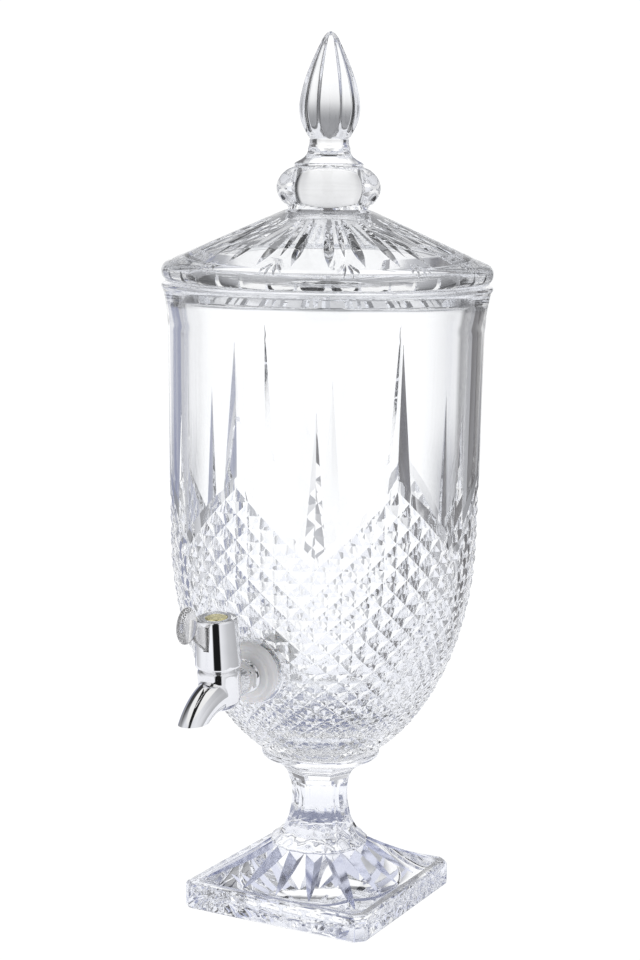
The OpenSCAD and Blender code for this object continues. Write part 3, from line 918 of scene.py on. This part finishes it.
def stage_plane(name, corners, material):
    """A flat sheet from corners given as (right, back, up) in metres, seen from the camera."""
    me = bpy.data.meshes.new(name)
    me.from_pydata([(right_x * a + back_x * b, right_y * a + back_y * b, c) for a, b, c in corners], [], [(0, 1, 2, 3)])
    ob = bpy.data.objects.new(name, me)
    scene.collection.objects.link(ob)
    me.materials.append(material)
    return ob


def linked(nt, kind, **inputs):
    n = nt.nodes.new(kind)
    for k, v in inputs.items():
        if hasattr(v, "is_output"):
            nt.links.new(v, n.inputs[k])
        else:
            n.inputs[k].default_value = v
    return n


def step_map(nt, value, lo, hi, out0=0.0, out1=1.0):
    n = nt.nodes.new("ShaderNodeMapRange")
    n.interpolation_type = "SMOOTHSTEP"
    for key, v in (("From Min", lo), ("From Max", hi), ("To Min", out0), ("To Max", out1)):
        n.inputs[key].default_value = v
    nt.links.new(value, n.inputs["Value"])
    return n.outputs["Result"]


def blend_rgb(nt, fac, a, b):
    n = nt.nodes.new("ShaderNodeMix")
    n.data_type = "RGBA"
    nt.links.new(fac, n.inputs[0])
    for k, v in ((6, a), (7, b)):
        if hasattr(v, "is_output"):
            nt.links.new(v, n.inputs[k])
        else:
            n.inputs[k].default_value = (*v[:3], 1.0)
    return n.outputs[2]


def G(v, b=1.0):
    """A grey with a slight cool tint."""
    return (v, v * (1 + 0.012 * b), v * (1 + 0.06 * b))


# SHADE is the colour of the painted shadow on the floor under the foot
FLOOR_GLOW, FLOOR_TONE, SHADE = 0.80, 0.25, (0.16, 0.175, 0.26)


def floor_material():
    """White to the eye; what the glass picks up from it glows a little greyer, with a painted shadow under the foot."""
    m, nt, bs = nodes_of("floor_white")
    f = noise(nt, 3.0)
    nt.links.new(ramp(nt, f, [(0.3, G(FLOOR_TONE - 0.02)), (0.7, G(FLOOR_TONE))]), bs.inputs["Base Color"])
    bs.inputs["Roughness"].default_value = 0.7
    bs.inputs["Specular IOR Level"].default_value = 0.1
    geo = nt.nodes.new("ShaderNodeNewGeometry")
    shift = nt.nodes.new("ShaderNodeVectorMath")
    shift.operation = "ADD"
    shift.inputs[1].default_value = (0.020 * back_x, 0.020 * back_y, 0)
    nt.links.new(geo.outputs["Position"], shift.inputs[0])
    far = nt.nodes.new("ShaderNodeVectorMath")
    far.operation = "LENGTH"
    nt.links.new(shift.outputs[0], far.inputs[0])
    # painted shadow under the foot, centred a little towards the camera and seen only through the glass
    glow_and_shadow = blend_rgb(nt, step_map(nt, far.outputs["Value"], 0.056, 0.076), SHADE, G(FLOOR_GLOW))
    # deeper shadow along the foot's right side
    sp = nt.nodes.new("ShaderNodeSeparateXYZ")
    nt.links.new(geo.outputs["Position"], sp.inputs[0])
    band = nt.nodes.new("ShaderNodeMath")
    band.operation = "MULTIPLY"
    nt.links.new(step_map(nt, sp.outputs["X"], 0.044, 0.050), band.inputs[0])
    nt.links.new(step_map(nt, sp.outputs["X"], 0.064, 0.072, 1.0, 0.0), band.inputs[1])
    both = nt.nodes.new("ShaderNodeMath")
    both.operation = "MULTIPLY"
    nt.links.new(band.outputs[0], both.inputs[0])
    nt.links.new(step_map(nt, sp.outputs["Y"], -0.058, -0.048), both.inputs[1])
    glow_and_shadow = blend_rgb(nt, both.outputs[0], glow_and_shadow, G(0.05))
    nt.links.new(glow_and_shadow, bs.inputs["Emission Color"])
    bs.inputs["Emission Strength"].default_value = 1.0
    white = linked(nt, "ShaderNodeEmission", Color=(1, 1, 1, 1), Strength=1.06)
    lp = nt.nodes.new("ShaderNodeLightPath")
    mx = nt.nodes.new("ShaderNodeMixShader")
    nt.links.new(lp.outputs["Is Camera Ray"], mx.inputs[0])
    nt.links.new(bs.outputs[0], mx.inputs[1])
    nt.links.new(white.outputs[0], mx.inputs[2])
    out = [n for n in nt.nodes if n.type == "OUTPUT_MATERIAL"][0]
    nt.links.new(mx.outputs[0], out.inputs[0])
    return m


floor = stage_plane("floor", [(-0.55, -0.45, -0.0004), (0.55, -0.45, -0.0004), (0.55, 0.75, -0.0004), (-0.55, 0.75, -0.0004)],
                    floor_material())

PANEL_BACK, PANEL_MID, PANEL_X0, PANEL_X1, PANEL_Z0, PANEL_Z1, PANEL_GLOW = 0.45, -0.03, 0.24, 0.29, 0.36, 0.60, 1.12


def panel_material():
    """A lit sheet, bright in the middle and low, dim at its sides and above."""
    m = bpy.data.materials.new("light_panel")
    m.use_nodes = True
    nt = m.node_tree
    nt.nodes.clear()
    out = nt.nodes.new("ShaderNodeOutputMaterial")
    geo = nt.nodes.new("ShaderNodeNewGeometry")
    dot = nt.nodes.new("ShaderNodeVectorMath")
    dot.operation = "DOT_PRODUCT"
    dot.inputs[1].default_value = (right_x, right_y, 0)
    nt.links.new(geo.outputs["Position"], dot.inputs[0])
    ab = nt.nodes.new("ShaderNodeMath")
    off = nt.nodes.new("ShaderNodeMath")
    off.operation = "SUBTRACT"
    off.inputs[1].default_value = PANEL_MID
    nt.links.new(dot.outputs["Value"], off.inputs[0])
    ab.operation = "ABSOLUTE"
    nt.links.new(off.outputs[0], ab.inputs[0])
    sp = nt.nodes.new("ShaderNodeSeparateXYZ")
    nt.links.new(geo.outputs["Position"], sp.inputs[0])
    off_x = step_map(nt, ab.outputs[0], PANEL_X0, PANEL_X1)
    off_z = step_map(nt, sp.outputs["Z"], PANEL_Z0, PANEL_Z1)
    side = blend_rgb(nt, step_map(nt, off.outputs[0], -0.05, 0.05), (0.30, 0.32, 0.43), (0.16, 0.155, 0.16))
    side = blend_rgb(nt, step_map(nt, sp.outputs["Z"], 0.33, 0.42), side, G(0.045))
    soft = nt.nodes.new("ShaderNodeMath")
    soft.operation = "MULTIPLY"
    nt.links.new(step_map(nt, ab.outputs[0], 0.14, 0.21), soft.inputs[0])
    nt.links.new(step_map(nt, sp.outputs["Z"], 0.19, 0.27, 1.0, 0.25), soft.inputs[1])
    col = blend_rgb(nt, soft.outputs[0], G(PANEL_GLOW, 0), G(0.50))
    col = blend_rgb(nt, off_z, col, G(0.27))
    col = blend_rgb(nt, off_x, col, side)
    em = linked(nt, "ShaderNodeEmission", Color=col, Strength=1.0)
    nt.links.new(em.outputs[0], out.inputs[0])
    return m


panel = stage_plane("light_panel", [(-0.5, PANEL_BACK, 0.0), (0.5, PANEL_BACK, 0.0), (0.5, PANEL_BACK, 0.95), (-0.5, PANEL_BACK, 0.95)],
                    panel_material())
panel.visible_camera = False
panel.visible_shadow = False

world = bpy.data.worlds.new("studio")
scene.world = world
world.use_nodes = True
wn = world.node_tree
wn.nodes.clear()
w_out = wn.nodes.new("ShaderNodeOutputWorld")
bg = wn.nodes.new("ShaderNodeBackground")
wn.links.new(bg.outputs[0], w_out.inputs[0])
tc = wn.nodes.new("ShaderNodeTexCoord")
mp = wn.nodes.new("ShaderNodeMapping")
mp.inputs["Rotation"].default_value = (0, 0, rad(-CAM_AZ + 90.0))     # +X now points from the jar to the camera
wn.links.new(tc.outputs["Generated"], mp.inputs["Vector"])
grad = wn.nodes.new("ShaderNodeTexGradient")
grad.gradient_type = "RADIAL"
wn.links.new(mp.outputs[0], grad.inputs["Vector"])


def az_stop(deg):
    return ((deg + 180.0) % 360.0) / 360.0


def ring(stops):
    """Brightness around the horizon: 0 towards the camera, positive to its right."""
    return ramp(wn, grad.outputs["Fac"], [(az_stop(a), G(v)) for a, v in stops])


low = ring([(-180, 0.45), (-150, 0.30), (-120, 0.30), (-105, 0.60), (-90, 0.75), (-60, 0.90), (-23, 0.90), (-18, 0.015), (14, 0.012),
            (19, 0.88), (55, 0.84), (80, 0.72), (100, 0.50), (115, 0.36), (135, 0.30), (155, 0.30), (179.9, 0.45)])
mid = ring([(-180, 0.04), (-125, 0.06), (-95, 0.45), (-75, 0.80), (-40, 0.80), (-19, 0.75), (-13, 0.03), (7, 0.03), (13, 0.80), (50, 0.85), (90, 0.55), (130, 0.18), (179.9, 0.04)])
sep = wn.nodes.new("ShaderNodeSeparateXYZ")
wn.links.new(tc.outputs["Generated"], sep.inputs[0])
el = sep.outputs["Z"]
col = blend_rgb(wn, step_map(wn, el, 0.31, 0.36), low, mid)
across = wn.nodes.new("ShaderNodeVectorMath")
across.operation = "DOT_PRODUCT"
across.inputs[1].default_value = (right_x, right_y, 0)
wn.links.new(tc.outputs["Generated"], across.inputs[0])
left_of = step_map(wn, across.outputs["Value"], -0.27, -0.23, 0.95, 0.02)
right_of = step_map(wn, across.outputs["Value"], 0.10, 0.14, 0.02, 0.95)
strip = wn.nodes.new("ShaderNodeMath")
strip.operation = "MAXIMUM"
wn.links.new(left_of, strip.inputs[0])
wn.links.new(right_of, strip.inputs[1])
col = blend_rgb(wn, step_map(wn, el, 0.72, 0.80), col, strip.outputs[0])
below = ring([(-180, 0.50), (-120, 0.60), (-90, 0.95), (-23, 1.0), (-18, 0.012), (14, 0.012), (19, 0.88), (60, 0.60), (120, 0.45), (179.9, 0.50)])
col = blend_rgb(wn, step_map(wn, el, -0.10, -0.02), below, col)
lp = wn.nodes.new("ShaderNodeLightPath")
# the dark strip is for reflections: seen through the glass, the front is plain and light
front = ring([(-180, 0.0), (-26, 0.0), (-20, 1.0), (16, 1.0), (22, 0.0), (179.9, 0.0)])
fill = wn.nodes.new("ShaderNodeMath")
fill.operation = "MULTIPLY"
wn.links.new(front, fill.inputs[0])
wn.links.new(lp.outputs["Is Transmission Ray"], fill.inputs[1])
level = wn.nodes.new("ShaderNodeMath")
level.operation = "MULTIPLY"
wn.links.new(fill.outputs[0], level.inputs[0])
wn.links.new(step_map(wn, el, 0.03, 0.10, 1.0, 0.0), level.inputs[1])
col = blend_rgb(wn, level.outputs[0], col, G(0.80))
col = blend_rgb(wn, lp.outputs["Is Camera Ray"], col, (1.06, 1.06, 1.06))
wn.links.new(col, bg.inputs["Color"])
bg.inputs["Strength"].default_value = 1.0

# camera of the photograph
az, yaw, pitch, roll = rad(CAM_AZ), rad(-0.126), rad(8.695), rad(0.818)
D, ZC, F_PX = 1219.985, 453.052, 2003.231
C = np.array([math.sin(az) * D, -math.cos(az) * D, ZC])
fw0, r0 = np.array([-math.sin(az), math.cos(az), 0]), np.array([math.cos(az), math.sin(az), 0])
zz = np.array([0, 0, 1.0])
fw = fw0 * math.cos(yaw) + r0 * math.sin(yaw)
rt = r0 * math.cos(yaw) - fw0 * math.sin(yaw)
f2 = fw * math.cos(pitch) - zz * math.sin(pitch)
u2 = zz * math.cos(pitch) + fw * math.sin(pitch)
r3 = rt * math.cos(roll) + u2 * math.sin(roll)
u3 = u2 * math.cos(roll) - rt * math.sin(roll)
cd = bpy.data.cameras.new("photo_camera")
cam = bpy.data.objects.new("photo_camera", cd)
scene.collection.objects.link(cam)
cd.sensor_width = 36.0
cd.lens = F_PX * 36.0 / 960.0
cd.clip_start, cd.clip_end = 0.01, 100.0
cam.matrix_world = Matrix(((r3[0], u3[0], -f2[0], C[0] * MM), (r3[1], u3[1], -f2[1], C[1] * MM),
                           (r3[2], u3[2], -f2[2], C[2] * MM), (0, 0, 0, 1)))
scene.camera = cam

cy = scene.cycles
cy.max_bounces = 40
cy.transmission_bounces = 40
cy.glossy_bounces = 24
cy.diffuse_bounces = 4
cy.transparent_max_bounces = 24
cy.caustics_reflective = True
cy.caustics_refractive = True
cy.blur_glossy = 0.2
cy.sample_clamp_indirect = 4.0
cy.use_denoising = True
scene.view_settings.view_transform = "Standard"
scene.view_settings.look = "None"

bpy.context.view_layer.update()
